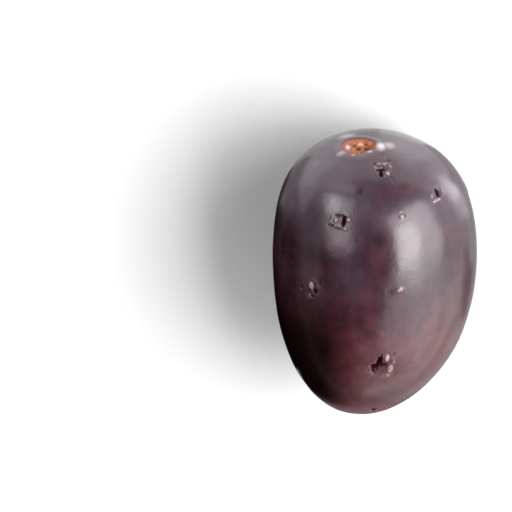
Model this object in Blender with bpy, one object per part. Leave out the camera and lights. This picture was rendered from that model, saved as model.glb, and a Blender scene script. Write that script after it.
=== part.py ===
"""Whole java plum as picked, lying on its side. Metres, +Z up, its scar end towards +X."""

import math
import random

import bmesh
import bpy
from mathutils import Matrix, Vector

MM = 0.001

# The fruit's body: t runs along its axis from -1 at the lower end to 1 at the scar end
LENGTH = 32.4 * MM
MID_RADIUS = 10.9 * MM
FULLNESS = (0.110, 0.177, 0.160)  # what t, its square and its cube add to an ellipsoid's radius
BOW = (0.85 * MM, -0.50 * MM)  # how far t squared and t cubed carry the axis to +Y
UNEVEN = ((2, 1.5, 0.4, 0.004), (3, 2.5, 2.1, 0.003), (5, 3.5, 4.4, 0.0015))  # waves round, along, phase, share

# How it lies
REST_TILT = math.radians(3.5)  # the scar end's rise, which brings the weight over the flat spot
FLAT_DEPTH = 0.13 * MM

# The scar, a shallow cup with a raised lip
SCAR_TO_Y = math.radians(6.9)  # how far it lies off the axis, sideways and upwards
SCAR_TO_Z = math.radians(3.3)
LIP_RADIUS = 2.05 * MM
LIP_HEIGHT = 0.22 * MM
LIP_SLOPE = 0.45 * MM
CUP_WALL = 0.60 * MM
CUP_DEPTH = 0.42 * MM
LIP_WAVES = ((2, 0.9, 0.05), (3, 2.6, 0.04), (7, 0.2, 0.015))  # waves round, phase, share of the radius
# Hollows and knobs in the cup's floor: to +Y, to +Z, radius, depth
CUP_FLOOR = (
    (0.49 * MM, -0.41 * MM, 0.26 * MM, 0.24 * MM),
    (-0.04 * MM, 0.65 * MM, 0.32 * MM, 0.34 * MM),
    (-0.91 * MM, -0.41 * MM, 0.26 * MM, 0.20 * MM),
    (-0.98 * MM, 0.72 * MM, 0.32 * MM, 0.32 * MM),
    (-0.19 * MM, -0.49 * MM, 0.38 * MM, -0.20 * MM),
    (0.52 * MM, 0.75 * MM, 0.28 * MM, -0.16 * MM),
)

# Pitted marks in the skin: along the axis from mid-length, turn from +Y over the top, size, stretch, lean
MARKS = (
    (11.3 * MM, 68, 0.80 * MM, 1.15, 10),
    (15.4 * MM, 101, 0.72 * MM, 1.10, 80),
    (12.9 * MM, 143, 0.66 * MM, 1.20, 20),
    (2.8 * MM, 53, 0.80 * MM, 1.25, 60),
    (-5.7 * MM, 97, 1.05 * MM, 1.25, 55),
    (12.0 * MM, 110, 0.38 * MM, 1.00, 0),
    (-14.1 * MM, 105, 0.50 * MM, 1.30, 90),
)
STALK_SCAR = (-16.2 * MM, 0, 0.80 * MM, 1.00, 0)  # a pit of the same kind at the very tip of the lower end
HIDDEN_MARKS = 8
HIDDEN_SEED = 12
HIDDEN_REACH = 12.5 * MM  # furthest along the axis, either way
HIDDEN_TURNS = (185, 355)
HIDDEN_SIZES = (0.55 * MM, 0.95 * MM)
MARK_SPACING = 5.0 * MM
FLAT_CLEARANCE = 5.5 * MM
PIT_DEPTH = 0.55  # as shares of a mark's size
PIT_RADIUS = 0.50
RIM_HEIGHT = 0.12
RIM_WIDTH = 0.28

# How finely the skin is divided
SEGMENTS = 52
RINGS = 40
SCAR_RINGS = 11
SCAR_RING_STEP = 0.28 * MM
MARK_REFINEMENTS = (2.4, 1.8, 1.2)  # each pass divides the faces this many mark sizes about a mark
SHORTEST_DIVIDED = 0.25 * MM  # edges shorter than this are left whole

SKIN_COLOUR = (0.046, 0.020, 0.030, 1.0)
SKIN_ROUGHNESS = 0.38


def clear_scene():
    for obj in list(bpy.data.objects):
        bpy.data.objects.remove(obj, do_unlink=True)


def smooth_step(low, high, value):
    share = max(0.0, min(1.0, (value - low) / (high - low)))
    return share * share * (3 - 2 * share)


def fullness(t):
    return 1 + sum(share * t**power for power, share in enumerate(FULLNESS, start=1))


def unevenness(t, turn):
    return sum(
        share * math.cos(around * turn + along * t + phase)
        for around, along, phase, share in UNEVEN
    )


def skin_point(direction):
    """The point of the smooth skin for a unit direction, whose X gives the place along the axis."""
    t = max(-1.0, min(1.0, direction.x))
    turn = math.atan2(direction.z, direction.y)
    radius = MID_RADIUS * math.sqrt(1 - t * t) * fullness(t) * (1 + unevenness(t, turn))
    sideways = BOW[0] * t**2 + BOW[1] * t**3
    return Vector((LENGTH / 2 * t, sideways + radius * math.cos(turn), radius * math.sin(turn)))


def direction_at(along, turn):
    """The unit direction for a distance along the axis from mid-length and a turn round it."""
    t = along / (LENGTH / 2)
    side = math.sqrt(1 - t * t)
    return Vector((t, side * math.cos(turn), side * math.sin(turn)))


def scar_direction():
    return Vector((1, math.tan(SCAR_TO_Y), math.tan(SCAR_TO_Z))).normalized()


def hidden_marks():
    """Marks of like sizes on the underside, drawn clear of each other and of the flat spot."""
    draw = random.Random(HIDDEN_SEED)
    under = skin_point(Vector((0, 0, -1)))
    kept = [skin_point(direction_at(along, math.radians(turn))) for along, turn, *_ in MARKS]
    found = []
    while len(found) < HIDDEN_MARKS:
        along = draw.uniform(-HIDDEN_REACH, HIDDEN_REACH)
        turn = draw.uniform(*HIDDEN_TURNS)
        size = draw.uniform(*HIDDEN_SIZES)
        stretch = draw.uniform(1.0, 1.3)
        lean = draw.uniform(0, 180)
        place = skin_point(direction_at(along, math.radians(turn)))
        if (place - under).length < FLAT_CLEARANCE:
            continue
        if min((place - other).length for other in kept) < MARK_SPACING:
            continue
        kept.append(place)
        found.append((along, turn, size, stretch, lean))
    return tuple(found)


def mark_frames():
    """Each mark's centre on the smooth skin, its two directions along the skin, its size and stretch."""
    frames = []
    for along, turn, size, stretch, lean in MARKS + (STALK_SCAR,) + hidden_marks():
        turn = math.radians(turn)
        centre = skin_point(direction_at(along, turn))
        round_axis = Vector((0, -math.sin(turn), math.cos(turn)))
        outward = centre.normalized()
        lengthways = round_axis.cross(outward).normalized()
        sideways = outward.cross(lengthways)
        lean = math.radians(lean)
        long_way = lengthways * math.cos(lean) + sideways * math.sin(lean)
        frames.append((centre, long_way, outward.cross(long_way), size, stretch))
    return frames


def mark_height(point, frames):
    """How far the pitted marks lift or lower the skin at a point."""
    height = 0.0
    for centre, long_way, short_way, size, stretch in frames:
        offset = point - centre
        if offset.length > 3 * size:
            continue
        distance = math.hypot(offset.dot(long_way) / stretch, offset.dot(short_way) * stretch) / size
        height += size * RIM_HEIGHT * math.exp(-(((distance - 1) / RIM_WIDTH) ** 2))
        height -= size * PIT_DEPTH * math.exp(-((distance / PIT_RADIUS) ** 3))
    return height


def scar_height(point, centre):
    """How far the scar's lip and cup lift or lower the skin at a point."""
    offset = point - centre
    if offset.x < -LIP_RADIUS:
        return 0.0
    bearing = math.atan2(offset.z, offset.y)
    wave = sum(share * math.cos(around * bearing + phase) for around, phase, share in LIP_WAVES)
    distance = offset.length
    crest = LIP_RADIUS * (1 + wave)
    if distance >= crest:
        return LIP_HEIGHT * math.exp(-(((distance - crest) / LIP_SLOPE) ** 2))
    sunk = 1 - smooth_step(crest - CUP_WALL, crest, distance)
    height = LIP_HEIGHT - sunk * (LIP_HEIGHT + CUP_DEPTH)
    for to_y, to_z, radius, depth in CUP_FLOOR:
        away = math.hypot(offset.y - to_y, offset.z - to_z)
        height -= sunk * depth * math.exp(-((away / radius) ** 2))
    return height


def close_rings_at_scar(bm):
    """Turns the sphere's pole to the scar and draws its first rings together there."""
    pole_radius = MID_RADIUS * fullness(1)
    step = SCAR_RING_STEP / pole_radius
    rest = (math.pi - SCAR_RINGS * step) / (RINGS - SCAR_RINGS)
    turned = Vector((1, 0, 0)).rotation_difference(scar_direction()).to_matrix()
    for vert in bm.verts:
        ring = round(math.acos(max(-1.0, min(1.0, vert.co.x))) / math.pi * RINGS)
        polar = min(ring, SCAR_RINGS) * step + max(ring - SCAR_RINGS, 0) * rest
        bearing = math.atan2(vert.co.z, vert.co.y)
        side = math.sin(polar)
        vert.co = turned @ Vector((math.cos(polar), side * math.cos(bearing), side * math.sin(bearing)))


def skin_length(edge):
    """How long an edge of the sphere is once it is carried to the skin."""
    first, second = [skin_point(vert.co) for vert in edge.verts]
    return (first - second).length


def refine_at_marks(bm, frames):
    """Divides the faces about each mark, in passes that close in on it."""
    for reach in MARK_REFINEMENTS:
        edges = set()
        for face in bm.faces:
            middle = skin_point(face.calc_center_median().normalized())
            if any((middle - centre).length < reach * size for centre, _, _, size, _ in frames):
                edges.update(edge for edge in face.edges if skin_length(edge) > SHORTEST_DIVIDED)
        bmesh.ops.subdivide_edges(bm, edges=list(edges), cuts=1, use_grid_fill=True)
        for vert in bm.verts:
            vert.co.normalize()


def shape_skin(bm, frames):
    """Carries the sphere to the smooth skin, then raises and lowers it at the scar and the marks."""
    for vert in bm.verts:
        vert.co = skin_point(vert.co)
    bm.normal_update()
    scar = skin_point(scar_direction())
    heights = [mark_height(vert.co, frames) + scar_height(vert.co, scar) for vert in bm.verts]
    for vert, height in zip(bm.verts, heights):
        vert.co += vert.normal * height


def lay_down(bm):
    """Tilts the fruit to its rest, cuts the flat spot and stands that on the ground under the box's centre."""
    bm.transform(Matrix.Rotation(-REST_TILT, 4, "Y"))
    ground = min(vert.co.z for vert in bm.verts) + FLAT_DEPTH
    cut = bmesh.ops.bisect_plane(
        bm,
        geom=bm.verts[:] + bm.edges[:] + bm.faces[:],
        plane_co=(0, 0, ground),
        plane_no=(0, 0, -1),
        clear_outer=True,
    )
    outline = [item for item in cut["geom_cut"] if isinstance(item, bmesh.types.BMEdge)]
    bmesh.ops.contextual_create(bm, geom=outline)
    middle_x = (min(vert.co.x for vert in bm.verts) + max(vert.co.x for vert in bm.verts)) / 2
    middle_y = (min(vert.co.y for vert in bm.verts) + max(vert.co.y for vert in bm.verts)) / 2
    bm.transform(Matrix.Translation((-middle_x, -middle_y, -ground)))


def skin_material():
    material = bpy.data.materials.new("plum skin")
    material.use_nodes = True
    shader = material.node_tree.nodes["Principled BSDF"]
    shader.inputs["Base Color"].default_value = SKIN_COLOUR
    shader.inputs["Roughness"].default_value = SKIN_ROUGHNESS
    shader.inputs["Metallic"].default_value = 0.0
    return material


def build_fruit(collection):
    frames = mark_frames()
    bm = bmesh.new()
    bmesh.ops.create_uvsphere(
        bm,
        u_segments=SEGMENTS,
        v_segments=RINGS,
        radius=1,
        matrix=Matrix.Rotation(math.pi / 2, 4, "Y"),
    )
    close_rings_at_scar(bm)
    refine_at_marks(bm, frames)
    shape_skin(bm, frames)
    lay_down(bm)
    bmesh.ops.recalc_face_normals(bm, faces=bm.faces)
    mesh = bpy.data.meshes.new("fruit")
    bm.to_mesh(mesh)
    bm.free()
    mesh.materials.append(skin_material())
    mesh.shade_smooth()
    mesh.set_sharp_from_angle(angle=math.radians(60))
    fruit = bpy.data.objects.new("fruit", mesh)
    collection.objects.link(fruit)
    return fruit


def main():
    clear_scene()
    collection = bpy.data.collections.new("java plum")
    bpy.context.scene.collection.children.link(collection)
    build_fruit(collection)


main()
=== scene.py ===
"""Looks of a whole java plum lying on its side: its waxy skin, scar and marks, and the stage round it."""

import math
import random

import bmesh
import bpy
import numpy as np
from bpy.props import FloatProperty, FloatVectorProperty, IntProperty, PointerProperty
from bpy.types import NodeSocket, Operator, Panel, PropertyGroup
from mathutils import Matrix, Vector, noise


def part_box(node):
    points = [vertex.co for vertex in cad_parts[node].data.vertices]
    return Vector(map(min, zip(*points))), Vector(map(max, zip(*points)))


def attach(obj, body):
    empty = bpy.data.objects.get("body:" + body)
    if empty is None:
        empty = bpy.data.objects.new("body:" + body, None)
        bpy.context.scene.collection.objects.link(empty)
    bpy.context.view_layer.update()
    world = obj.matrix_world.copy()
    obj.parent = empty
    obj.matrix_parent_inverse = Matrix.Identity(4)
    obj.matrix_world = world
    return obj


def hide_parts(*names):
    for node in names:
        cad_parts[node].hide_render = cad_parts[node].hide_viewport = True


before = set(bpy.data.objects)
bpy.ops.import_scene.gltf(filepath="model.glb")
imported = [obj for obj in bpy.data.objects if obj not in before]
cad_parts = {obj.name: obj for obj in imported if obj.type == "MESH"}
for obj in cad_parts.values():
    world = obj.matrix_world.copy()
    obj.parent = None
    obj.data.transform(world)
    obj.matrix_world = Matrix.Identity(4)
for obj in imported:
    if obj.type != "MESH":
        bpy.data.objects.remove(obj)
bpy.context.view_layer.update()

bl_info = {
    "name": "Java plum",
    "version": (1, 0, 0),
    "blender": (4, 5, 0),
    "location": "View3D > Sidebar > Java plum",
    "description": "Models a whole java plum on a studio stage",
    "category": "Object",
}

MM = 0.001
PLUM_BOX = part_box("fruit")


def in_metres(rows, *columns):
    """The rows of a table, with the lengths in these columns turned from millimetres into metres."""
    return tuple(tuple(value * MM if column in columns else value for column, value in enumerate(row))
                 for row in rows)


# Middle of the plum's axis as it lies, which the patterns in its skin and the camera are placed by
AXIS_MIDDLE = Vector((-0.10 * MM, 0, 10.67 * MM))

# Waves in the skin's roundness: round the axis, along it, phase, share of the radius
UNEVEN = ((2, 1.5, 0.4, 0.004), (3, 2.5, 2.1, 0.003), (5, 3.5, 4.4, 0.0015))
# Low lumps in the skin: how far apart, how high
SKIN_LUMPS = ((3.2 * MM, 0.035 * MM), (1.1 * MM, 0.009 * MM))
# Heights under this are left out when the skin is pressed
LEAST_HEIGHT = 0.0005 * MM

# How far round them faces are divided, pass by pass: shares of a mark's size and of the scar's radius
PASSES = ((2.2, 1.6), (1.9, 1.2), (1.5, 1.05))
# What counts as a crumb's size there, as a share of its half length
CRUMB_REACH = 0.7
# The area under which a face is fine enough
FINEST_FACE = 0.0048 * MM * MM

# The scar's outline: waves round it, phase, share of its radius
LIP_WAVES = ((2, 0.9, 0.05), (3, 2.6, 0.04), (7, 0.2, 0.015))
# Crumbly lumps in the scar: how far apart, how high
SCAR_LUMPS = ((0.45 * MM, 0.07 * MM), (0.20 * MM, 0.02 * MM))
# Share of those lumps that the inside of the lip has
LIP_LUMPS = 0.7
# Where the lip is lower than this share of its height, it has no lumps
LIP_EDGE = 0.01
# Painted shadow line under the scar's wall, over a shallow groove: radius and width as shares of the lip's,
# how far to -Z it fades in, depth
LINE_RADIUS = 0.96
LINE_WIDTH = 0.05
LINE_SECTOR = (0.15, 0.55)
LINE_DEPTH = 0.06 * MM
# How whole that line is where its noise is 0, and how fast the noise changes it
LINE_BREAKS = (0.7, 8 / MM)
# Pink callus on one side of the cup: where it starts and where it is full, from the scar's middle to +Y
CALLUS = (0.30 * MM, 1.10 * MM)
# Depth of a hollow from which its dark colour, a painted shade, is full, and height of a knob from which its
# colour is full
HOLLOW_SHADE_FULL = 0.20 * MM
KNOB_FULL = 0.24 * MM
# Hollows and knobs in the scar's floor: to +Y, to +Z, half sizes that way, depth
CUP_FLOOR = in_metres((
    (-0.02, -0.20, 0.28, 0.36, 0.30),
    (-1.00, 0.04, 0.36, 0.32, 0.32),
    (0.49, -0.90, 0.18, 0.26, 0.20),
    (-0.84, -0.88, 0.20, 0.28, 0.14),
    (-0.20, -0.75, 0.34, 0.36, -0.24),
    (-1.35, -0.95, 0.32, 0.34, -0.12),
    (-0.10, -1.30, 0.90, 0.30, -0.08),
    (-0.51, 0.10, 0.17, 0.40, -0.08),
    (0.60, 0.10, 0.28, 0.50, -0.08),
    (1.17, -0.45, 0.26, 0.50, -0.26),
), 0, 1, 2, 3, 4)
# Pale swellings round the scar, dried skin with painted highlight: to +Y, to +Z, half sizes that way, height,
# paleness
SWELLS = in_metres((
    (-2.42, 0.40, 0.52, 0.72, 0.14, 0.85),
    (-3.30, -0.10, 0.66, 0.85, 0.08, 0.47),
    (1.30, -2.75, 1.00, 0.85, 0.06, 0.50),
    (1.75, 1.25, 0.62, 0.46, 0.06, 0.42),
    (1.17, -0.45, 0.24, 0.50, 0.00, 0.8),
    (-0.11, 1.48, 0.32, 0.26, 0.12, 0.8),
    (-1.17, 1.40, 0.34, 0.28, 0.12, 0.65),
    (0.45, 1.90, 0.26, 0.22, 0.05, 0.4),
), 0, 1, 2, 3, 4)

# Pitted marks: along the axis from mid-length, turn from +Y over the top in degrees, size, stretch, lean in
# degrees. The other tables of spots give along and turn in the same way.
MARKS = in_metres((
    (11.3, 68, 0.80, 1.15, 10),
    (15.4, 101, 0.72, 1.10, 80),
    (12.9, 143, 0.66, 1.20, 20),
    (2.8, 53, 0.80, 1.25, 60),
    (-5.7, 97, 1.05, 1.25, 55),
    (12.0, 110, 0.38, 1.00, 0),
    (-14.1, 105, 0.50, 1.30, 90),
), 0, 2)
# The small scar of the stalk, at the tip of the lower end
STALK_SCAR = (-16.2 * MM, 0, 0.80 * MM, 1.00, 0)
# Marks on the underside: how many, and the places, turns, sizes, stretches and leans they are drawn between
HIDDEN_MARKS = 8
HIDDEN_SEED = 12
HIDDEN_REACH = 12.5 * MM
HIDDEN_TURNS = (185, 355)
HIDDEN_SIZES = (0.55 * MM, 0.95 * MM)
HIDDEN_STRETCHES = (1.0, 1.3)
HIDDEN_LEANS = (0, 180)
# How far their middles stay from another mark's and from the flat spot's
MARK_SPACING = 5.0 * MM
FLAT_CLEARANCE = 5.5 * MM
# The hole in such a mark: half width, half length and depth, as shares of the mark's size
HIDDEN_HOLE = ((0.25, 0.45), (0.3, 0.5), 0.45)
# Its crumbs: how many, the ring they lie on, half width, half length and height as shares of the mark's size
HIDDEN_CRUMBS = 2
CRUMB_RING = 0.85
HIDDEN_CRUMB = ((0.25, 0.45), 0.35, 0.08)
HIDDEN_PALENESS = (0.5, 0.9)

# Outlines of the marks and of the holes: waves round it, share of its radius, step in phase from spot to spot
MARK_WAVES = ((3, 0.10, 1), (7, 0.05, 2))
HOLE_WAVES = ((2, 0.12, 1), (5, 0.10, 3))
# A mark's torn lip and its sunk floor, which is darkened as painted shade, all as shares of the mark's size
MARK_LIP_RADIUS = 1.2
MARK_LIP_WIDTH = 0.30
MARK_LIP_HEIGHT = 0.032
MARK_FLOOR = (0.3, 1.1)
MARK_FLOOR_DEPTH = 0.06
# Where a hole's wall and a crumb's side start and end, as shares of its half sizes
HOLE_WALL = (0.6, 1.35)
CRUMB_SIDE = (0.5, 1.4)
# A hole's darkness: what every hole has as dark torn tissue, and the depth that adds the rest as painted
# shade
HOLE_DARKNESS = 0.2
HOLE_SHADE_DEPTH = 0.35 * MM
# Tears in a mark's lip and lumps on a crumb: how far apart they are, and then how whole the lip or crumb is
# where the noise is 0, and how fast the noise changes that
TEAR_SPACING = 0.55 * MM
TEARS = (0.55, 1.1)
CRUMB_SPACING = 0.28 * MM
CRUMBLING = (0.9, 0.5)
# How bare a rubbed spot is in its middle
RUBBED_SHARE = 0.45

# Holes and creases broken into the skin in the marks: along, turn, half width, half length, depth
HOLES = in_metres((
    (11.25, 70.1, 0.21, 0.46, 0.40),
    (11.71, 68.4, 0.73, 0.10, 0.12),
    (10.60, 62.2, 0.38, 0.11, 0.12),
    (10.46, 67.1, 0.37, 0.12, 0.12),
    (15.43, 98.4, 0.48, 0.24, 0.36),
    (15.19, 97.8, 0.17, 0.43, 0.34),
    (15.65, 90.1, 0.13, 0.16, 0.08),
    (15.75, 113.6, 0.29, 0.15, 0.08),
    (14.99, 107.6, 0.13, 0.14, 0.08),
    (14.79, 109.6, 0.13, 0.13, 0.08),
    (13.05, 143.5, 0.26, 0.48, 0.34),
    (2.68, 55.2, 0.25, 0.29, 0.30),
    (2.03, 52.8, 0.29, 0.17, 0.24),
    (2.49, 45.6, 0.16, 0.37, 0.14),
    (3.85, 58.5, 0.12, 0.36, 0.12),
    (-4.98, 95.5, 0.29, 0.50, 0.50),
    (-5.62, 98.0, 0.36, 0.26, 0.44),
    (-5.60, 95.0, 0.32, 0.34, 0.42),
    (-5.85, 92.8, 0.36, 0.48, 0.46),
    (-6.35, 92.2, 0.20, 0.34, 0.26),
    (-4.27, 96.4, 0.11, 0.25, 0.15),
    (-4.00, 103.6, 0.12, 0.23, 0.07),
    (-6.96, 106.5, 0.16, 0.20, 0.05),
    (-13.43, 102.0, 0.26, 0.37, 0.26),
    (-16.2, 0, 0.34, 0.30, 0.30),
), 0, 2, 3, 4)
# Crumbs of dried skin on the marks' lips: along, turn, half width, half length, height, paleness
CRUMBS = in_metres((
    (11.22, 65.1, 0.22, 0.27, 0.10, 0.6),
    (11.49, 73.1, 0.17, 0.24, 0.12, 0.7),
    (10.57, 71.9, 0.21, 0.17, 0.10, 0.65),
    (15.18, 105.2, 0.19, 0.24, 0.14, 1.0),
    (15.65, 96.4, 0.21, 0.22, 0.08, 0.6),
    (15.64, 105.1, 0.26, 0.21, 0.08, 0.65),
    (15.48, 111.8, 0.17, 0.25, 0.08, 0.5),
    (15.50, 90.8, 0.15, 0.21, 0.06, 0.35),
    (12.50, 139.0, 0.55, 0.16, 0.10, 0.7),
    (13.00, 136.6, 0.16, 0.24, 0.06, 0.4),
    (3.24, 52.7, 0.31, 0.43, 0.14, 0.8),
    (-4.54, 99.8, 0.23, 0.46, 0.15, 1.0),
    (-6.05, 102.8, 0.30, 0.62, 0.10, 0.60),
    (-7.05, 101.8, 0.30, 0.23, 0.08, 0.40),
    (-5.20, 104.1, 0.18, 0.27, 0.06, 0.30),
    (11.88, 109.2, 0.21, 0.21, 0.12, 1.0),
    (4.04, 105.1, 0.32, 0.22, 0.05, 0.6),
    (14.33, 59.8, 0.11, 0.10, 0.03, 0.3),
    (14.48, 67.8, 0.10, 0.09, 0.03, 0.25),
), 0, 2, 3, 4)
# Soft shallow dents, darkened in colour as painted shade: along, turn, half width, half length, depth
DENTS = in_metres((
    (13.97, 79.6, 0.43, 0.36, 0.06),
    (9.70, 93.0, 0.90, 1.00, 0.07),
    (3.89, 99.4, 0.33, 0.36, 0.06),
), 0, 2, 3, 4)
# Where the wax is rubbed off the redder skin: along, turn, half width, half length
RUBBED = in_metres((
    (7.40, 94.0, 0.80, 1.70),
    (14.20, 118.0, 2.60, 1.00),
    (1.00, 84.0, 1.00, 2.40),
), 0, 2, 3)
# Where the wax lies thicker: along, turn, half width, half length
WAXED = in_metres((
    (5.20, 78.0, 1.70, 2.20),
    (12.92, 84.5, 0.80, 1.20),
    (8.66, 70.7, 1.40, 1.20),
    (14.20, 17.2, 2.50, 3.00),
    (0.50, 112.6, 2.90, 2.60),
), 0, 2, 3)
# How far apart the lumps of each pattern are. The real wax's streaks and grain, the cork's fibres and the
# lenticels are finer than the picture can show, so all of them are drawn coarser.
CLOUD_SPACING = 5.0 * MM
STREAK_SPACING = 1.6 * MM
MOTTLE_SPACING = 1.3 * MM
GRAIN_SPACING = 0.30 * MM
LENTICEL_SPACING = 1.15 * MM
FIBRE_SPACING = 0.55 * MM
# Streaks are longer than wide: the pattern is squeezed to this share along the axis
STREAK_SQUEEZE = 0.16
# A lenticel's faint edge and its full middle, as shares of the spacing, and how much of its colour shows
LENTICEL_EDGE = 0.11
LENTICEL_MIDDLE = 0.06
LENTICEL_SHARE = 0.05
# Height of the skin's fine relief and of the cork's, for their bump
SKIN_BUMP = 0.022 * MM
CORK_BUMP = 0.05 * MM
# Where a colour or the wax starts and where it is full, along the axis from its middle: the wine red, the
# blush of the lower end, the painted shade of the flank and the wax of the scar end
WINE = (5 * MM, -7 * MM)
BLUSH = (-11 * MM, -16 * MM)
SHADED_HALF = (4.5 * MM, -4.5 * MM)
SCAR_END = (7 * MM, 16 * MM)
# The same across the axis: the flank with painted shade, to +Y, and the shoulders, to both sides
SHADED_FLANK = (1.6 * MM, 5.4 * MM)
SHOULDER = (1.5 * MM, 7 * MM)
# How light the skin's colour stays on the flank where it is darkened as painted shade, compared with the rest
SHADED_FLANK_LIGHTNESS = 0.11
# How much of the peel the wax hides: in its streaks and clouds, at the scar end and where it lies thicker
STREAK_WAX = 0.07
SCAR_END_WAX = 0.165
THICK_WAX = 0.07

# Colours laid over the skin and over the cork, in this order: mask, the mask's value where the colour starts,
# the value where it reaches its share, that share, the colour. One with a share over 1 is full before that.
SKIN_LAYERS = (
    ("scar_lip", 0.1, 0.9, 0.3, "#8a7078"),
    # Pale dried skin round the scar, partly a painted highlight
    ("scar_pale_and_glint", 0.1, 0.9, 1.0, "#cfc3c6"),
    ("scar_cup", 0.1, 0.9, 1.7, "#a8623c"),
    ("scar_callus", 0.1, 0.9, 1.0, "#84605f"),
    # Painted shadow under the scar's wall
    ("scar_shadow_line", 0.1, 0.9, 1.0, "#4a261c"),
    # Painted shade on the marks' sunk floors
    ("mark_floor_shade", 0.1, 0.9, 0.3, "#2a1a1f"),
    ("mark_lip", 0.1, 0.9, 0.25, "#6d5a5c"),
    # Painted shade in the shallow dents
    ("shaded_dent", 0.1, 0.9, 0.75, "#180a12"),
    ("mark_crumb", 0.1, 0.9, 1.0, "#927e80"),
    # Dark torn tissue in the holes, with painted shade that grows with depth
    ("mark_hole", 0.1, 0.9, 1.0, "#2a0a10"),
)
CORK_LAYERS = (
    ("scar_cup", 0.95, 0.5, 1.0, "#9c5a38"),
    ("scar_callus", 0.0, 1.0, 1.0, "#8f5f5a"),
    ("scar_knob", 0.1, 1.0, 1.0, "#e6ad94"),
    # Painted shade in the hollows
    ("scar_hollow_shade", 0.15, 0.85, 1.0, "#5c2413"),
    # Painted shadow under the scar's wall
    ("scar_shadow_line", 0.1, 0.8, 1.0, "#5a3528"),
    # Pale dried skin round the scar, partly a painted highlight
    ("scar_pale_and_glint", 0.1, 0.9, 1.0, "#e3c9c7"),
)
MARK_MASKS = ("mark_lip", "mark_floor_shade", "mark_hole", "mark_crumb", "shaded_dent", "rubbed", "waxed")


def linear(hex_colour):
    """A linear colour with alpha from an sRGB hex value."""
    parts = [int(hex_colour[i : i + 2], 16) / 255 for i in (1, 3, 5)]
    return tuple(c / 12.92 if c <= 0.04045 else ((c + 0.055) / 1.055) ** 2.4 for c in parts) + (1.0,)


class JavaPlumShape(PropertyGroup):
    length: FloatProperty(
        name="Length", description="From the lower end to the scar end", default=32.4 * MM, min=0.01,
        unit="LENGTH")
    mid_radius: FloatProperty(
        name="Middle radius", description="Radius at mid-length", default=10.9 * MM, min=0.003,
        unit="LENGTH")
    fullness: FloatVectorProperty(
        name="Fullness", default=(0.110, 0.177, 0.160), size=3,
        description="What the place along the axis, its square and its cube add to an ellipsoid")
    bow: FloatVectorProperty(
        name="Bow", default=(0.85 * MM, -0.50 * MM), size=2, unit="LENGTH",
        description="How far the square and cube of the place along the axis carry it sideways")
    rest_tilt: FloatProperty(
        name="Rest tilt", description="How far the scar end rises as the plum lies",
        default=math.radians(3.5), subtype="ANGLE")
    flat_depth: FloatProperty(
        name="Flat depth", description="How much the flat spot takes off the underside",
        default=0.13 * MM, unit="LENGTH")
    segments: IntProperty(
        name="Segments", description="Faces round the sphere it starts from", default=60, min=16)
    rings: IntProperty(
        name="Rings", description="Faces along the sphere it starts from", default=44, min=12)


class JavaPlumScar(PropertyGroup):
    to_y: FloatProperty(
        name="To side", description="How far the scar lies off the axis, to +Y", default=math.radians(6.7),
        subtype="ANGLE")
    to_z: FloatProperty(
        name="Upwards", description="How far the scar lies off the axis, upwards", default=math.radians(2.1),
        subtype="ANGLE")
    lip_radius: FloatProperty(
        name="Lip radius", description="Radius of the raised lip's crest", default=1.95 * MM, unit="LENGTH")
    lip_height: FloatProperty(
        name="Lip height", description="Height of the lip over the skin", default=0.10 * MM, unit="LENGTH")
    lip_slope: FloatProperty(
        name="Lip slope", description="Width of the lip's outer slope", default=0.60 * MM, unit="LENGTH")
    cup_wall: FloatProperty(
        name="Cup wall", description="Width of the cup's sloping wall", default=0.60 * MM, unit="LENGTH")
    cup_depth: FloatProperty(
        name="Cup depth", description="Depth of the cup's floor under the skin", default=0.42 * MM,
        unit="LENGTH")


class JavaPlumColours(PropertyGroup):
    skin: FloatVectorProperty(
        name="Skin", description="Ripe skin under its wax", default=linear("#28121b"), size=4,
        subtype="COLOR")
    wine: FloatVectorProperty(
        name="Wine", description="Redder skin in the lower half", default=linear("#40171e"), size=4,
        subtype="COLOR")
    blush: FloatVectorProperty(
        name="Blush", description="Reddest skin, at the very lower end", default=linear("#6e2731"), size=4,
        subtype="COLOR")
    bloom: FloatVectorProperty(
        name="Bloom", description="Wax on the skin", default=linear("#776e7b"), size=4, subtype="COLOR")
    lenticel: FloatVectorProperty(
        name="Lenticels", description="Pale dots in the skin", default=linear("#8f7f84"), size=4,
        subtype="COLOR")
    cork: FloatVectorProperty(
        name="Cork", description="Dried tissue in the scar", default=linear("#7f4323"), size=4,
        subtype="COLOR")
    fibre: FloatVectorProperty(
        name="Fibre", description="Lighter fibres in the cork", default=linear("#ab6a45"), size=4,
        subtype="COLOR")


class JavaPlumStage(PropertyGroup):
    camera_rise: FloatProperty(
        name="Camera rise", description="Angle from the plum's axis up to the camera",
        default=math.radians(62), subtype="ANGLE")
    camera_roll: FloatProperty(
        name="Camera roll", description="Lean of the plum in the picture", default=math.radians(1.9),
        subtype="ANGLE")
    lens: FloatProperty(
        name="Lens", description="Focal length in millimetres", default=600.0, min=20.0, unit="CAMERA")
    pixels_per_mm: FloatProperty(
        name="Pixels per mm", description="Scale of the picture at the plum", default=9.264, min=1.0)
    room_light: FloatProperty(
        name="Room light", description="Strength of the even light from all round", default=0.02, min=0.0)


def plum():
    return bpy.context.scene.java_plum_shape


def smooth_step(low, high, value):
    share = np.clip((value - low) / (high - low), 0.0, 1.0)
    return share * share * (3 - 2 * share)


def gaussian(distance, width):
    return np.exp(-((distance / width) ** 2))


def fullness(t):
    """What the radius at a place along the axis, from -1 to 1, is multiplied by."""
    first, second, third = plum().fullness
    return 1 + first * t + second * t**2 + third * t**3


def bow(t):
    """How far the axis is carried to +Y at a place along it, from -1 to 1."""
    square, cube = plum().bow
    return square * t**2 + cube * t**3


def unevenness(t, turn):
    return sum(share * np.cos(around * turn + along * t + phase) for around, along, phase, share in UNEVEN)


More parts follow.
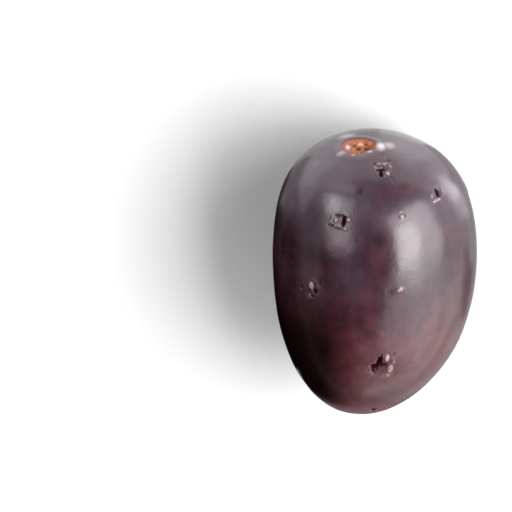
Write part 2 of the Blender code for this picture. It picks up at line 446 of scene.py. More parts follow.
def skin_place(along, turn):
    """The point of the smooth skin at a distance along the axis from mid-length and a turn round it."""
    t = along / (plum().length / 2)
    radius = plum().mid_radius * math.sqrt(max(0.0, 1 - t * t)) * fullness(t) * (1 + unevenness(t, turn))
    return Vector((along, bow(t) + radius * math.cos(turn), radius * math.sin(turn)))


def scar_place():
    """The middle of the scar on the smooth skin."""
    scar = bpy.context.scene.java_plum_scar
    toward = Vector((1, math.tan(scar.to_y), math.tan(scar.to_z))).normalized()
    return skin_place(plum().length / 2 * toward.x, math.atan2(toward.z, toward.y))


def hidden_marks():
    """Marks of like sizes on the underside, drawn clear of each other and of the flat spot."""
    draw = random.Random(HIDDEN_SEED)
    under = skin_place(0.0, -math.pi / 2)
    kept = [skin_place(along, math.radians(turn)) for along, turn, *_ in MARKS]
    found = []
    while len(found) < HIDDEN_MARKS:
        along = draw.uniform(-HIDDEN_REACH, HIDDEN_REACH)
        turn = draw.uniform(*HIDDEN_TURNS)
        size = draw.uniform(*HIDDEN_SIZES)
        stretch = draw.uniform(*HIDDEN_STRETCHES)
        lean = draw.uniform(*HIDDEN_LEANS)
        place = skin_place(along, math.radians(turn))
        if (place - under).length < FLAT_CLEARANCE:
            continue
        if min((place - other).length for other in kept) < MARK_SPACING:
            continue
        kept.append(place)
        found.append((along, turn, size, stretch, lean))
    return tuple(found)


def all_marks():
    return MARKS + (STALK_SCAR,) + hidden_marks()


def hidden_spots():
    """A hole in each hidden mark, and crumbs of dried skin on its lip."""
    draw = random.Random(HIDDEN_SEED + 1)
    hole_widths, hole_lengths, hole_depth = HIDDEN_HOLE
    crumb_widths, crumb_length, crumb_height = HIDDEN_CRUMB
    holes, crumbs = [], []
    for along, turn, size, *_ in hidden_marks():
        radius = skin_place(along, math.radians(turn)).yz.length
        width = draw.uniform(*hole_widths) * size
        length = draw.uniform(*hole_lengths) * size
        holes.append((along, turn, width, length, hole_depth * size))
        for _ in range(HIDDEN_CRUMBS):
            bearing = draw.uniform(0, math.tau)
            to_scar = CRUMB_RING * size * math.sin(bearing)
            to_side = CRUMB_RING * size * math.cos(bearing)
            width = draw.uniform(*crumb_widths) * size
            paleness = draw.uniform(*HIDDEN_PALENESS)
            crumbs.append((along + to_scar, turn + math.degrees(to_side / radius), width, crumb_length * size,
                           crumb_height * size, paleness))
    return tuple(holes), tuple(crumbs)


def lumps(points, spacing):
    """Noise from about -1 to 1 at each point, with its lumps this far apart."""
    return np.array([noise.noise(Vector(point) / spacing) for point in points])


def layered_lumps(points, layers):
    return sum(height * lumps(points, spacing) for spacing, height in layers)


def wholeness(values, level, contrast):
    """How whole something is at each point, from 0 to 1, where noise breaks it."""
    return np.clip(level + contrast * values, 0, 1)


def away_from(points, along, turn, half_width, half_length, lean=0.0):
    """Which points are near a spot on the skin, how far off in shares of its half sizes, and which way."""
    turn = math.radians(turn)
    centre = skin_place(along, turn)
    round_way = Vector((0, -math.sin(turn), math.cos(turn)))
    along_way = centre.normalized().cross(round_way)
    offset = points - np.array(centre)
    near = np.linalg.norm(offset, axis=1) < 3 * max(half_width, half_length)
    to_side, to_scar = offset[near] @ np.array(round_way), offset[near] @ np.array(along_way)
    slant = math.radians(lean)
    across = (to_side * math.cos(slant) + to_scar * math.sin(slant)) / half_width
    up = (to_scar * math.cos(slant) - to_side * math.sin(slant)) / half_length
    return near, np.hypot(across, up), np.arctan2(up, across)


def ragged(distance, bearing, number, waves):
    """The distances from a spot whose outline goes in and out, in its own way for each numbered spot."""
    return distance * (1 + sum(share * np.sin(around * bearing + step * number)
                               for around, share, step in waves))


def only(obj):
    """Selects one object and makes it the active one."""
    bpy.ops.object.select_all(action="DESELECT")
    obj.select_set(True)
    bpy.context.view_layer.objects.active = obj


def points_of(obj):
    points = np.empty(len(obj.data.vertices) * 3)
    obj.data.vertices.foreach_get("co", points)
    return points.reshape(-1, 3)


def press(obj, heights):
    """Raises and sinks the skin along its normals by a height for each point."""
    for sign in (1, -1):
        part = np.maximum(sign * heights, 0.0)
        top = part.max()
        group = obj.vertex_groups.new(name="pressed")
        for index in np.flatnonzero(part > LEAST_HEIGHT):
            group.add([int(index)], float(part[index] / top), "REPLACE")
        modifier = obj.modifiers.new("Press", "DISPLACE")
        modifier.vertex_group = group.name
        modifier.strength = sign * top
        modifier.mid_level = 0.0
        modifier.direction = "NORMAL"
        only(obj)
        bpy.ops.object.modifier_apply(modifier=modifier.name)
        obj.vertex_groups.clear()


class JAVA_PLUM_OT_fruit(Operator):
    """Models the whole plum with its scar and marks, and gives it its skin"""

    bl_idname = "java_plum.fruit"
    bl_label = "Plum"

    def execute(self, context):
        obj = add_body()
        refine(obj)
        add_relief(obj)
        lay_down(obj)
        finish_plum(obj)
        return {"FINISHED"}


def add_body():
    """A sphere whose rings are widened and shifted, one at a time, to the plum's profile and bow."""
    shape = plum()
    radius = shape.mid_radius
    within = 0.2 * radius / shape.rings**2  # less than the gap between the two rings nearest a pole
    bpy.ops.object.select_all(action="DESELECT")
    bpy.ops.mesh.primitive_uv_sphere_add(
        segments=shape.segments, ring_count=shape.rings, radius=radius, rotation=(0, math.pi / 2, 0))
    obj = bpy.context.object
    obj.name = obj.data.name = "java_plum"
    bpy.ops.object.transform_apply(location=False, rotation=True, scale=False)
    bpy.ops.object.mode_set(mode="EDIT")
    bpy.ops.mesh.select_mode(type="VERT")
    for ring in range(shape.rings + 1):
        t = math.cos(math.pi * ring / shape.rings)
        bpy.ops.mesh.select_all(action="DESELECT")
        mesh = bmesh.from_edit_mesh(obj.data)
        for vert in mesh.verts:
            if abs(vert.co.x - radius * t) < within:
                vert.select_set(True)
        mesh.select_flush(True)
        bmesh.update_edit_mesh(obj.data)
        bpy.ops.transform.resize(value=(1, fullness(t), fullness(t)), center_override=(0, 0, 0))
        bpy.ops.transform.translate(value=(0, bow(t), 0))
    bpy.ops.mesh.select_all(action="SELECT")
    bpy.ops.transform.resize(value=(shape.length / 2 / radius, 1, 1), center_override=(0, 0, 0))
    bpy.ops.object.mode_set(mode="OBJECT")
    rounding = obj.modifiers.new("Rounding", "SUBSURF")
    rounding.levels = rounding.render_levels = 2
    only(obj)
    bpy.ops.object.modifier_apply(modifier=rounding.name)
    make_uneven(obj)
    return obj


def make_uneven(obj):
    """Gives the skin its unevenness round the axis and its low lumps."""
    points = points_of(obj)
    t = np.clip(points[:, 0] / (plum().length / 2), -1, 1)
    to_y = points[:, 1] - bow(t)
    waves = np.hypot(to_y, points[:, 2]) * unevenness(t, np.arctan2(points[:, 2], to_y))
    press(obj, waves + layered_lumps(points, SKIN_LUMPS))


def refine(obj):
    """Divides the faces at the scar and at each mark, in passes that close in on them."""
    spots = [(skin_place(along, math.radians(turn)), size) for along, turn, size, *_ in all_marks()]
    spots += [(skin_place(along, math.radians(turn)), CRUMB_REACH * length)
              for along, turn, _, length, *_ in CRUMBS]
    for mark_reach, scar_reach in PASSES:
        centres = [(centre, mark_reach * size) for centre, size in spots]
        centres.append((scar_place(), scar_reach * bpy.context.scene.java_plum_scar.lip_radius))
        only(obj)
        bpy.ops.object.mode_set(mode="EDIT")
        bpy.ops.mesh.select_mode(type="FACE")
        bpy.ops.mesh.select_all(action="DESELECT")
        mesh = bmesh.from_edit_mesh(obj.data)
        for face in mesh.faces:
            if face.calc_area() > FINEST_FACE:
                middle = face.calc_center_median()
                face.select_set(any((middle - centre).length < reach for centre, reach in centres))
        bmesh.update_edit_mesh(obj.data)
        bpy.ops.mesh.subdivide(number_cuts=1, smoothness=1.0)
        bpy.ops.object.mode_set(mode="OBJECT")


def soft_spot(offset, to_y, to_z, wide, high):
    """The weight of each point in a soft oval spot, seen along the axis."""
    return gaussian(np.hypot((offset[:, 1] - to_y) / wide, (offset[:, 2] - to_z) / high), 1.0)


def cup_floor(offset, cup):
    """Heights of the hollows and knobs in the scar's floor, the hollows' mask of painted shade and the knobs'
    mask.
    """
    heights, hollow, knob = np.zeros((3, len(offset)))
    for to_y, to_z, wide, high, depth in CUP_FLOOR:
        spot = cup * soft_spot(offset, to_y, to_z, wide, high)
        heights -= depth * spot
        if depth > 0:
            hollow = np.maximum(hollow, min(1.0, depth / HOLLOW_SHADE_FULL) * spot)
        else:
            knob = np.maximum(knob, min(1.0, -depth / KNOB_FULL) * spot)
    return heights, hollow, knob


def swellings(offset):
    """Heights and mask of the pale swellings round the scar, partly dried skin and partly painted highlight.
    """
    other_end = offset[:, 0] < -plum().length / 2  # the spots run through the plum along its axis
    heights, pale = np.zeros((2, len(offset)))
    for to_y, to_z, wide, high, height, paleness in SWELLS:
        spot = soft_spot(offset, to_y, to_z, wide, high)
        spot[other_end] = 0.0
        heights += height * spot
        pale = np.maximum(pale, paleness * spot)
    return heights, pale


def scar_shadow_line(offset, distance, crest, rough):
    """Mask of the broken painted shadow line under the scar's wall."""
    ring = gaussian(distance / crest - LINE_RADIUS, LINE_WIDTH)
    sector = smooth_step(*LINE_SECTOR, -offset[:, 2] / distance)
    return ring * sector * wholeness(rough, *LINE_BREAKS)


def scar_relief(points):
    """Heights of the scar's lip, cup and floor, and its masks for the materials."""
    scar = bpy.context.scene.java_plum_scar
    offset = points - np.array(scar_place())
    distance = np.linalg.norm(offset, axis=1)
    bearing = np.arctan2(offset[:, 2], offset[:, 1])
    waves = sum(share * np.cos(around * bearing + phase) for around, phase, share in LIP_WAVES)
    crest = scar.lip_radius * (1 + waves)
    lip = np.where(distance > crest, gaussian(distance - crest, scar.lip_slope), 1.0)
    cup = 1 - smooth_step(crest - scar.cup_wall, crest, distance)
    inside_lip = gaussian(distance - crest + 0.5 * scar.cup_wall, 0.5 * scar.cup_wall)
    floor, hollow, knob = cup_floor(offset, cup)
    swell, pale = swellings(offset)
    rough = np.zeros(len(points))
    rough[lip > LIP_EDGE] = layered_lumps(points[lip > LIP_EDGE], SCAR_LUMPS)
    # A painted shadow line under the scar's wall, which also sinks the skin a little
    line = scar_shadow_line(offset, distance, crest, rough)
    heights = scar.lip_height * lip - (scar.lip_height + scar.cup_depth) * cup + floor + swell
    heights += rough * np.maximum(cup, LIP_LUMPS * inside_lip) - LINE_DEPTH * line
    callus = cup * smooth_step(*CALLUS, offset[:, 1])
    return heights, {"scar_lip": lip, "scar_cup": cup, "scar_hollow_shade": hollow, "scar_knob": knob,
                     "scar_pale_and_glint": pale, "scar_shadow_line": line, "scar_callus": callus}


# The next four give for each spot the name of its mask, the points near it, their weights, the height that it
# adds and its share in the mask


def mark_spots(points):
    """Torn lips of the marks, and their sunk floors, darkened as painted shade."""
    for number, (along, turn, size, stretch, lean) in enumerate(all_marks()):
        near, distance, bearing = away_from(points, along, turn, size * stretch, size / stretch, lean)
        distance = ragged(distance, bearing, number, MARK_WAVES)
        torn = wholeness(lumps(points[near], TEAR_SPACING), *TEARS)
        lip = gaussian(distance - MARK_LIP_RADIUS, MARK_LIP_WIDTH) * torn
        yield "mark_lip", near, lip, MARK_LIP_HEIGHT * size, 1.0
        yield "mark_floor_shade", near, 1 - smooth_step(*MARK_FLOOR, distance), -MARK_FLOOR_DEPTH * size, 1.0


def hole_spots(points):
    """Holes and creases in the marks, dark torn tissue, and the deeper the darker as painted shade."""
    for number, (along, turn, width, length, depth) in enumerate(HOLES + hidden_spots()[0]):
        near, distance, bearing = away_from(points, along, turn, width, length)
        distance = ragged(distance, bearing, number, HOLE_WAVES)
        dark_and_shade = min(1.0, HOLE_DARKNESS + depth / HOLE_SHADE_DEPTH)
        yield "mark_hole", near, 1 - smooth_step(*HOLE_WALL, distance), -depth, dark_and_shade


def crumb_spots(points):
    """Crumbs of dried skin on the marks' lips."""
    for along, turn, width, length, height, paleness in CRUMBS + hidden_spots()[1]:
        near, distance, _ = away_from(points, along, turn, width, length)
        crumbly = wholeness(lumps(points[near], CRUMB_SPACING), *CRUMBLING)
        yield "mark_crumb", near, (1 - smooth_step(*CRUMB_SIDE, distance)) * crumbly, height, paleness


def soft_spots(points):
    """Dents darkened as painted shade, and where the wax is rubbed off or lies thicker."""
    rows = [("shaded_dent", spot, -depth, 1.0) for *spot, depth in DENTS]
    rows += [("rubbed", spot, 0.0, RUBBED_SHARE) for spot in RUBBED]
    rows += [("waxed", spot, 0.0, 1.0) for spot in WAXED]
    for name, spot, height, share in rows:
        near, distance, _ = away_from(points, *spot)
        yield name, near, gaussian(distance, 1.0), height, share


def mark_relief(points):
    """Heights of the marks' lips, holes, crumbs and dents, and their masks for the materials."""
    heights = np.zeros(len(points))
    masks = {name: np.zeros(len(points)) for name in MARK_MASKS}
    for spots in (mark_spots, hole_spots, crumb_spots, soft_spots):
        for name, near, weights, height, share in spots(points):
            heights[near] += height * weights
            masks[name][near] = np.maximum(masks[name][near], share * weights)
    return heights, masks


def add_relief(obj):
    """Presses the scar and the marks into the skin, and keeps their masks as attributes."""
    points = points_of(obj)
    scar_heights, scar_masks = scar_relief(points)
    mark_heights, mark_masks = mark_relief(points)
    press(obj, scar_heights + mark_heights)
    for name, weights in {**scar_masks, **mark_masks}.items():
        attribute = obj.data.attributes.new(name, "FLOAT", "POINT")
        attribute.data.foreach_set("value", weights.astype(np.float32))


def lay_down(obj):
    """Tilts the plum to its rest, puts it where the frame's fruit lies and cuts its flat spot."""
    shape = plum()
    only(obj)
    obj.rotation_euler = (0, -shape.rest_tilt, 0)
    bpy.ops.object.transform_apply(location=False, rotation=True, scale=False)
    points = points_of(obj)
    low, high = Vector(points.min(axis=0)), Vector(points.max(axis=0))
    floor = PLUM_BOX[0].z
    place = (PLUM_BOX[0] + PLUM_BOX[1] - low - high) / 2
    obj.location = (place.x, place.y, floor - low.z - shape.flat_depth)
    bpy.ops.object.transform_apply(location=True, rotation=False, scale=False)
    bpy.ops.object.mode_set(mode="EDIT")
    bpy.ops.mesh.select_all(action="SELECT")
    bpy.ops.mesh.bisect(plane_co=(0, 0, floor), plane_no=(0, 0, 1), use_fill=True, clear_inner=True,
                        threshold=0.001 * MM)
    bpy.ops.object.mode_set(mode="OBJECT")


def add(tree, kind, inputs, out=0, **settings):
    """Adds a node with its settings, fills or links its inputs, and gives back one of its outputs."""
    node = tree.nodes.new(kind)
    for key, value in settings.items():
        setattr(node, key, value)
    for key, value in inputs.items():
        if isinstance(value, NodeSocket):
            tree.links.new(value, node.inputs[key])
        else:
            node.inputs[key].default_value = value
    return node.outputs[out] if node.outputs else None


def new_material(name):
    material = bpy.data.materials.new(name)
    material.use_nodes = True
    material.node_tree.nodes.clear()
    return material, material.node_tree


def lay_colours(tree, colour, layers, masks):
    """Lays each layer's colour over the ones before it, where its mask is."""
    for name, start, full, share, hex_colour in layers:
        weight = add(tree, "ShaderNodeMapRange",
                     {"Value": masks[name], "From Min": start, "From Max": full, "To Max": share})
        colour = add(tree, "ShaderNodeMix", {0: weight, 6: colour, 7: linear(hex_colour)}, out=2,
                     data_type="RGBA")
    return colour


def place_in_plum(tree):
    """Where a point is from the middle of the plum's axis, with X along the axis before it was laid down."""
    tilt = plum().rest_tilt
    shift = -(Matrix.Rotation(tilt, 3, "Y") @ AXIS_MIDDLE)
    place = add(tree, "ShaderNodeTexCoord", {}, out="Object")
    return add(tree, "ShaderNodeMapping", {"Vector": place, "Rotation": (0, tilt, 0), "Location": shift})


def skin_patterns(tree, place):
    """Clouds, streaks along the plum, mottling, grain, and how far a point is from the nearest lenticel."""
    streaks = add(tree, "ShaderNodeMapping", {"Vector": place, "Scale": (STREAK_SQUEEZE, 1, 1)})
    patterns = {
        name: add(tree, "ShaderNodeTexNoise", {"Vector": vector, "Scale": 1 / spacing, "Detail": detail})
        for name, vector, spacing, detail in (
            ("cloud", place, CLOUD_SPACING, 4.0),
            ("streak", streaks, STREAK_SPACING, 3.0),
            ("grain", place, GRAIN_SPACING, 3.0),
            ("mottle", place, MOTTLE_SPACING, 4.0),
        )
    }
    patterns["lenticel"] = add(tree, "ShaderNodeTexVoronoi", {"Vector": place, "Scale": 1 / LENTICEL_SPACING},
                               out="Distance")
    return patterns


def peel_colour(tree, along, patterns, masks):
    """Near-black purple, wine red in the lower half, in patches and where rubbed, and reddest at the end."""
    colours = bpy.context.scene.java_plum_colours
    lower = add(tree, "ShaderNodeMapRange",
                {"Value": along, "From Min": WINE[0], "From Max": WINE[1]}, interpolation_type="SMOOTHSTEP")
    patch = add(tree, "ShaderNodeMapRange",
                {"Value": patterns["cloud"], "From Min": 0.42, "From Max": 0.62, "To Max": 0.3})
    red = add(tree, "ShaderNodeMath", {0: lower, 1: patch}, operation="ADD", use_clamp=True)
    red = add(tree, "ShaderNodeMath", {0: red, 1: masks["rubbed"]}, operation="MAXIMUM")
    colour = add(tree, "ShaderNodeMix", {0: red, 6: colours.skin, 7: colours.wine}, out=2, data_type="RGBA")
    end = add(tree, "ShaderNodeMapRange",
              {"Value": along, "From Min": BLUSH[0], "From Max": BLUSH[1]}, interpolation_type="SMOOTHSTEP")
    return add(tree, "ShaderNodeMix", {0: end, 6: colour, 7: colours.blush}, out=2, data_type="RGBA")


def painted_flank_shade(tree, along, across):
    """Painted shade: 1 all over the skin, but falling to the shaded flank's set lightness on the less lit
    flank of the lower half.
    """
    flank = add(tree, "ShaderNodeMapRange",
                {"Value": across, "From Min": SHADED_FLANK[0], "From Max": SHADED_FLANK[1], "To Max": SHADED_FLANK_LIGHTNESS - 1},
                interpolation_type="SMOOTHSTEP")
    lower = add(tree, "ShaderNodeMapRange",
                {"Value": along, "From Min": SHADED_HALF[0], "From Max": SHADED_HALF[1]},
                interpolation_type="SMOOTHSTEP")
    return add(tree, "ShaderNodeMath", {0: lower, 1: flank, 2: 1.0}, operation="MULTIPLY_ADD")


def wax_cover(tree, along, across, painted_shade_factor, patterns, masks):
    """How much of the peel its wax hides: streaks and clouds all over, more on the scar end's shoulders."""
    wax = add(tree, "ShaderNodeMath", {0: patterns["streak"], 1: patterns["cloud"]}, operation="ADD")
    wax = add(tree, "ShaderNodeMapRange",
              {"Value": wax, "From Min": 0.75, "From Max": 1.25, "To Max": STREAK_WAX})
    # Pale wax would show on the shaded flank first, so it thins there faster than the peel darkens: painted
    # shade too
    thinned = add(tree, "ShaderNodeMath", {0: painted_shade_factor, 1: 2.0}, operation="POWER")
    wax = add(tree, "ShaderNodeMath", {0: wax, 1: thinned}, operation="MULTIPLY")
    scar_end = add(tree, "ShaderNodeMapRange",
                   {"Value": along, "From Min": SCAR_END[0], "From Max": SCAR_END[1], "To Max": SCAR_END_WAX})
    aside = add(tree, "ShaderNodeMath", {0: across}, operation="ABSOLUTE")
    shoulder = add(tree, "ShaderNodeMapRange",
                   {"Value": aside, "From Min": SHOULDER[0], "From Max": SHOULDER[1], "To Min": 0.7,
                    "To Max": 1.5})
    wax = add(tree, "ShaderNodeMath", {0: scar_end, 1: shoulder, 2: wax}, operation="MULTIPLY_ADD")
    wax = add(tree, "ShaderNodeMath", {0: masks["waxed"], 1: THICK_WAX, 2: wax}, operation="MULTIPLY_ADD")
    left = add(tree, "ShaderNodeMapRange", {"Value": masks["rubbed"], "To Min": 1.0, "To Max": 0.5})
    return add(tree, "ShaderNodeMath", {0: wax, 1: left}, operation="MULTIPLY")


def skin_colour(tree, along, across, wax, painted_shade_factor, patterns, masks):
    """The mottled peel under its wax, darkened on one flank as painted shade, with its lenticels, the scar's
    surroundings and the marks.
    """
    colours = bpy.context.scene.java_plum_colours
    colour = peel_colour(tree, along, patterns, masks)
    tone = add(tree, "ShaderNodeMapRange",
               {"Value": patterns["mottle"], "From Min": 0.3, "From Max": 0.7, "To Min": 0.68,
                "To Max": 1.34})
    # The tone falls on the less lit flank: painted shade
    tone = add(tree, "ShaderNodeMath", {0: tone, 1: painted_shade_factor}, operation="MULTIPLY")
    colour = add(tree, "ShaderNodeVectorMath", {0: colour, 3: tone}, operation="SCALE")
    colour = add(tree, "ShaderNodeMix", {0: wax, 6: colour, 7: colours.bloom}, out=2, data_type="RGBA")
    dot = add(tree, "ShaderNodeMapRange",
              {"Value": patterns["lenticel"], "From Min": LENTICEL_EDGE, "From Max": LENTICEL_MIDDLE,
               "To Max": LENTICEL_SHARE})
    colour = add(tree, "ShaderNodeMix", {0: dot, 6: colour, 7: colours.lenticel}, out=2, data_type="RGBA")
    return lay_colours(tree, colour, SKIN_LAYERS, masks)


def waxy_skin():
    """Ripe java plum skin, a thin taut peel under its own wax.

    To the eye it is near-black purple that turns wine red towards the lower end, greyed by the wax in streaks
    and clouds, most of all round the scar end. A soft sheen, broader where the wax is thick, lies under a
    clearer gloss that the torn holes and the scar have lost. Pale lenticels, about 0.2 mm across, dot it.
    """
    material, tree = new_material("waxy java plum skin")
    place = place_in_plum(tree)
    along = add(tree, "ShaderNodeSeparateXYZ", {0: place})
    across = along.node.outputs["Y"]
    masks = {name: add(tree, "ShaderNodeAttribute", {}, out="Fac", attribute_name=name)
             for name in (*(layer[0] for layer in SKIN_LAYERS), "rubbed", "waxed")}
    patterns = skin_patterns(tree, place)
    # Painted shade: colour and wax are darkened on the flank to +Y in the lower half
    painted_shade_factor = painted_flank_shade(tree, along, across)
    wax = wax_cover(tree, along, across, painted_shade_factor, patterns, masks)
    colour = skin_colour(tree, along, across, wax, painted_shade_factor, patterns, masks)

    rough = add(tree, "ShaderNodeMapRange",
                {"Value": wax, "From Min": 0.0, "From Max": 0.25, "To Min": 0.36, "To Max": 0.50})
    in_scar = add(tree, "ShaderNodeMapRange", {"Value": masks["scar_cup"], "From Min": 0.02, "From Max": 0.3})
    dry = add(tree, "ShaderNodeMath", {0: masks["mark_hole"], 1: in_scar}, operation="MAXIMUM")
    rough = add(tree, "ShaderNodeMath", {0: dry, 1: 0.4, 2: rough}, operation="MULTIPLY_ADD", use_clamp=True)
    gloss = add(tree, "ShaderNodeMapRange", {"Value": dry, "To Min": 1.0, "To Max": 0.0})
    relief = add(tree, "ShaderNodeMath", {0: patterns["mottle"], 1: 1.5, 2: patterns["grain"]},
                 operation="MULTIPLY_ADD")
    bump = add(tree, "ShaderNodeBump", {"Height": relief, "Distance": SKIN_BUMP, "Strength": 0.5})
    shader = add(tree, "ShaderNodeBsdfPrincipled",
                 {"Base Color": colour, "Roughness": rough, "IOR": 1.45, "Specular IOR Level": 0.06,
                  "Normal": bump, "Coat Weight": gloss, "Coat Roughness": 0.23, "Coat IOR": 1.5,
                  "Coat Normal": bump})
    add(tree, "ShaderNodeOutputMaterial", {"Surface": shader})
    return material


def corky_scar():
    """Corky tissue, dried where the flower sat.

    To the eye it is rough and dull, rusty brown with lighter fibres, a pinkish callus on one side, pale knobs
    and dark hollows, whose darkness, like the dark line under the wall, is painted shade.
    """
    material, tree = new_material("corky java plum scar")
    colours = bpy.context.scene.java_plum_colours
    place = add(tree, "ShaderNodeTexCoord", {}, out="Object")
    masks = {layer[0]: add(tree, "ShaderNodeAttribute", {}, out="Fac", attribute_name=layer[0])
             for layer in CORK_LAYERS}
    fibre = add(tree, "ShaderNodeTexNoise", {"Vector": place, "Scale": 1 / FIBRE_SPACING, "Detail": 3.0})
    light = add(tree, "ShaderNodeMapRange", {"Value": fibre, "From Min": 0.4, "From Max": 0.65})
    colour = add(tree, "ShaderNodeMix", {0: light, 6: colours.cork, 7: colours.fibre}, out=2,
                 data_type="RGBA")
    colour = lay_colours(tree, colour, CORK_LAYERS, masks)
    bump = add(tree, "ShaderNodeBump", {"Height": fibre, "Distance": CORK_BUMP, "Strength": 0.6})
    shader = add(tree, "ShaderNodeBsdfPrincipled",
                 {"Base Color": colour, "Roughness": 0.75, "IOR": 1.45, "Normal": bump})
    add(tree, "ShaderNodeOutputMaterial", {"Surface": shader})
    return material


def finish_plum(obj):
    """Gives the skin and the scar's cup their materials, and puts the plum in place of the frame's fruit."""
    obj.data.materials.clear()
    obj.data.materials.append(waxy_skin())
    obj.data.materials.append(corky_scar())
    cup = np.empty(len(obj.data.vertices))
    obj.data.attributes["scar_cup"].data.foreach_get("value", cup)
    for face in obj.data.polygons:
        face.material_index = int(cup[list(face.vertices)].mean() > 0.5)
    only(obj)
    bpy.ops.object.shade_smooth()
    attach(obj, "root")
    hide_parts("fruit")


class JAVA_PLUM_OT_stage(Operator):
    """Sets the pale floor, the soft light and the camera"""

    bl_idname = "java_plum.stage"
    bl_label = "Stage"

    def execute(self, context):
        add_floor()
        add_cards()
        add_lights()
        add_camera()
        return {"FINISHED"}


FLOOR_SIDE = 3.0
LIGHT_DISTANCE = 0.6
# Soft boxes at that distance: name, way to it from the plum, way its length runs, width, length, brightness
SOFT_BOXES = (
    ("key", (0.02, -0.615, 0.788), (0.98, 0.11, 0.09), 0.255, 0.38, 7.3),
    ("key_surround", (0.16, -0.763, 0.629), (0.97, 0.21, 0.01), 0.62, 0.72, 4.9),
    ("key_top", (0.44, -0.635, 0.635), (0.90, 0.31, -0.31), 0.38, 0.44, 1.5),
    ("spread", (-0.05, -0.90, 0.42), (1.00, 0.00, 0.00), 0.50, 1.35, 0.9),
    ("front", (-0.62, -0.655, 0.432), (0.78, -0.52, 0.34), 0.78, 0.425, 1.65),
    ("low_front", (-0.87, -0.12, 0.47), (0.50, 0.15, 0.84), 0.435, 0.355, 0.55),
    ("horizon", (-0.95, -0.30, 0.09), (0.30, -0.95, 0.00), 0.16, 0.44, 1.5),
    ("fill", (0.375, 0.625, 0.685), (0.92, -0.04, -0.38), 0.35, 0.665, 3.3),
    ("fill_top", (0.59, 0.715, 0.376), (0.63, -0.12, -0.77), 0.15, 0.24, 4.8),
    ("fill_high", (0.87, 0.46, 0.15), (0.30, -0.75, 0.55), 0.14, 0.34, 2.0),
    ("fill_low", (-0.20, 0.95, 0.24), (0.98, 0.20, 0.00), 0.27, 0.36, 0.3),
)
# Cards on the floor that only reflections see, each a little higher than the last: name, middle, size along X
# and Y, brightness
CARD_STEP = 0.1 * MM
CARDS = (
    ("far_side_card", (-0.050, -0.200), (0.180, 0.320), 1.7),
    ("far_end_card", (-0.300, -0.200), (0.320, 0.320), 0.9),
    ("dim_side_card", (0.014, -0.125), (0.052, 0.160), 1.1),
    ("mid_side_card", (-0.055, -0.030), (0.130, 0.022), 0.8),
    ("near_side_card", (-0.012, -0.013), (0.056, 0.013), 0.5),
    ("dark_flank_card", (-0.0095, -0.0265), (0.011, 0.015), 0.2),
    ("pale_side_card", (0.019, -0.030), (0.028, 0.021), 1.8),
    ("bright_side_card", (0.018, -0.0275), (0.012, 0.014), 4.8),
    ("pale_top_card", (0.026, -0.0075), (0.012, 0.009), 2.1),
    ("grey_top_card", (0.0165, 0.0035), (0.006, 0.0075), 0.78),
    ("grey_end_card", (-0.160, -0.024), (0.270, 0.033), 0.6),
    ("dark_side_card", (-0.038, 0.162), (0.086, 0.300), 0.0),
    ("half_side_card", (0.011, 0.162), (0.012, 0.300), 0.3),
    ("pale_back_card", (0.028, 0.027), (0.016, 0.026), 1.8),
    ("dark_rim_card", (-0.004, 0.0115), (0.028, 0.010), 0.0),
    ("dim_end_card", (-0.150, 0.000), (0.262, 0.018), 0.25),
    ("dark_end_card", (-0.150, 0.160), (0.262, 0.302), 0.0),
)
# Side of the picture and place of the plum's middle in it, in pixels, and the camera's sensor in millimetres
PICTURE_SIDE = 512
PLUM_IN_PICTURE = (374.0, 276.4)
SENSOR = 36.0


def painted_board():
    """Board under matt white paint, which to the eye is one even pale ground without a glare."""
    material, tree = new_material("matt white board")
    shader = add(tree, "ShaderNodeBsdfPrincipled",
                 {"Base Color": linear("#c8c8c8"), "Roughness": 0.9, "Specular IOR Level": 0.1})
    add(tree, "ShaderNodeOutputMaterial", {"Surface": shader})
    return material


def glowing_card(name, brightness):
    """Card that glows evenly and shines back nothing, to the eye a lighter or darker patch in the gloss."""
    material, tree = new_material(name.replace("_", " "))
    shader = add(tree, "ShaderNodeBsdfPrincipled",
                 {"Base Color": linear("#000000"), "Roughness": 1.0, "Specular IOR Level": 0.0,
                  "Emission Color": linear("#ffffff"), "Emission Strength": brightness})
    add(tree, "ShaderNodeOutputMaterial", {"Surface": shader})
    return material


def add_floor():
    bpy.ops.object.select_all(action="DESELECT")
    bpy.ops.mesh.primitive_plane_add(size=FLOOR_SIDE)
    floor = bpy.context.object
    floor.name = floor.data.name = "floor"
    floor.data.materials.append(painted_board())


def add_cards():
    """Lays cards on the floor that the skin reflects and the camera does not see."""
    for number, (name, (x, y), size, brightness) in enumerate(CARDS, 1):
        bpy.ops.object.select_all(action="DESELECT")
        bpy.ops.mesh.primitive_plane_add(size=1.0, location=(x, y, number * CARD_STEP))
        bpy.ops.transform.resize(value=(*size, 1.0))
        bpy.ops.object.transform_apply(location=True, rotation=True, scale=True)
        card = bpy.context.object
        card.name = card.data.name = name
        card.data.materials.append(glowing_card(name, brightness))
        card.visible_camera = card.visible_shadow = card.visible_diffuse = False


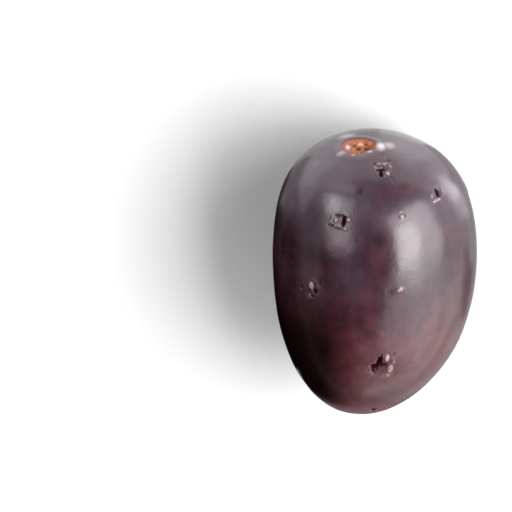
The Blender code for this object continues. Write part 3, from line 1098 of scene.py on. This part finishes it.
def add_lights():
    """Turns each soft box's face to the plum, and lights the room a little all round."""
    scene = bpy.context.scene
    for name, middle, lengthways, width, length, brightness in SOFT_BOXES:
        light = bpy.data.lights.new(name, "AREA")
        light.shape = "RECTANGLE"
        light.size = width
        light.size_y = length
        light.energy = brightness * math.pi * width * length
        obj = bpy.data.objects.new(name, light)
        toward = Vector(middle).normalized()
        up = Vector(lengthways)
        up = (up - toward * up.dot(toward)).normalized()
        turned = Matrix((up.cross(toward), up, toward)).transposed().to_4x4()
        obj.matrix_world = Matrix.Translation(toward * LIGHT_DISTANCE) @ turned
        obj.visible_camera = False
        scene.collection.objects.link(obj)
    world = bpy.data.worlds.new("studio")
    world.use_nodes = True
    background = world.node_tree.nodes["Background"]
    background.inputs["Color"].default_value = linear("#f4f6fa")
    background.inputs["Strength"].default_value = scene.java_plum_stage.room_light
    scene.world = world
    scene.view_settings.view_transform = "Standard"


def add_camera():
    """Looks down at the plum with its scar end up, and puts it in the picture where the photograph has it."""
    stage = bpy.context.scene.java_plum_stage
    data = bpy.data.cameras.new("camera")
    data.lens = stage.lens
    data.sensor_width = SENSOR
    data.clip_start = 0.01
    data.clip_end = 10.0
    camera = bpy.data.objects.new("camera", data)
    rise, roll = stage.camera_rise + plum().rest_tilt, stage.camera_roll
    toward = Vector((math.cos(rise), 0, math.sin(rise)))
    side, up = Vector((0, -1, 0)), Vector((math.sin(rise), 0, -math.cos(rise)))
    right = side * math.cos(roll) + up * math.sin(roll)
    above = up * math.cos(roll) - side * math.sin(roll)
    pixel = MM / stage.pixels_per_mm
    aim = (AXIS_MIDDLE + right * ((PICTURE_SIDE / 2 - PLUM_IN_PICTURE[0]) * pixel)
           + above * ((PLUM_IN_PICTURE[1] - PICTURE_SIDE / 2) * pixel))
    camera.location = AXIS_MIDDLE + toward * (PICTURE_SIDE * pixel / SENSOR * data.lens)
    back = (camera.location - aim).normalized()
    right = (right - back * right.dot(back)).normalized()
    camera.rotation_euler = Matrix((right, back.cross(right), back)).transposed().to_euler()
    bpy.context.scene.collection.objects.link(camera)
    bpy.context.scene.camera = camera


class JAVA_PLUM_PT_panel(Panel):
    """Lists the plum, its stage and their settings"""

    bl_idname = "JAVA_PLUM_PT_panel"
    bl_label = "Java plum"
    bl_space_type = "VIEW_3D"
    bl_region_type = "UI"
    bl_category = "Java plum"

    def draw(self, context):
        for operator, groups in OPERATOR_GROUPS.items():
            box = self.layout.box()
            for group in groups:
                for name in GROUPS[group].__annotations__:
                    box.prop(getattr(context.scene, group), name)
            box.operator(operator)


GROUPS = {
    "java_plum_shape": JavaPlumShape,
    "java_plum_scar": JavaPlumScar,
    "java_plum_colours": JavaPlumColours,
    "java_plum_stage": JavaPlumStage,
}
# Which settings each operator reads
OPERATOR_GROUPS = {
    "java_plum.fruit": ("java_plum_shape", "java_plum_scar", "java_plum_colours"),
    "java_plum.stage": ("java_plum_stage",),
}
CLASSES = (*GROUPS.values(), JAVA_PLUM_OT_fruit, JAVA_PLUM_OT_stage, JAVA_PLUM_PT_panel)


def register():
    for item in CLASSES:
        bpy.utils.register_class(item)
    for name, group in GROUPS.items():
        setattr(bpy.types.Scene, name, PointerProperty(type=group))


def unregister():
    for name in GROUPS:
        delattr(bpy.types.Scene, name)
    for item in reversed(CLASSES):
        bpy.utils.unregister_class(item)


def main():
    register()
    bpy.ops.java_plum.fruit()
    bpy.ops.java_plum.stage()


if __name__ == "__main__":
    main()
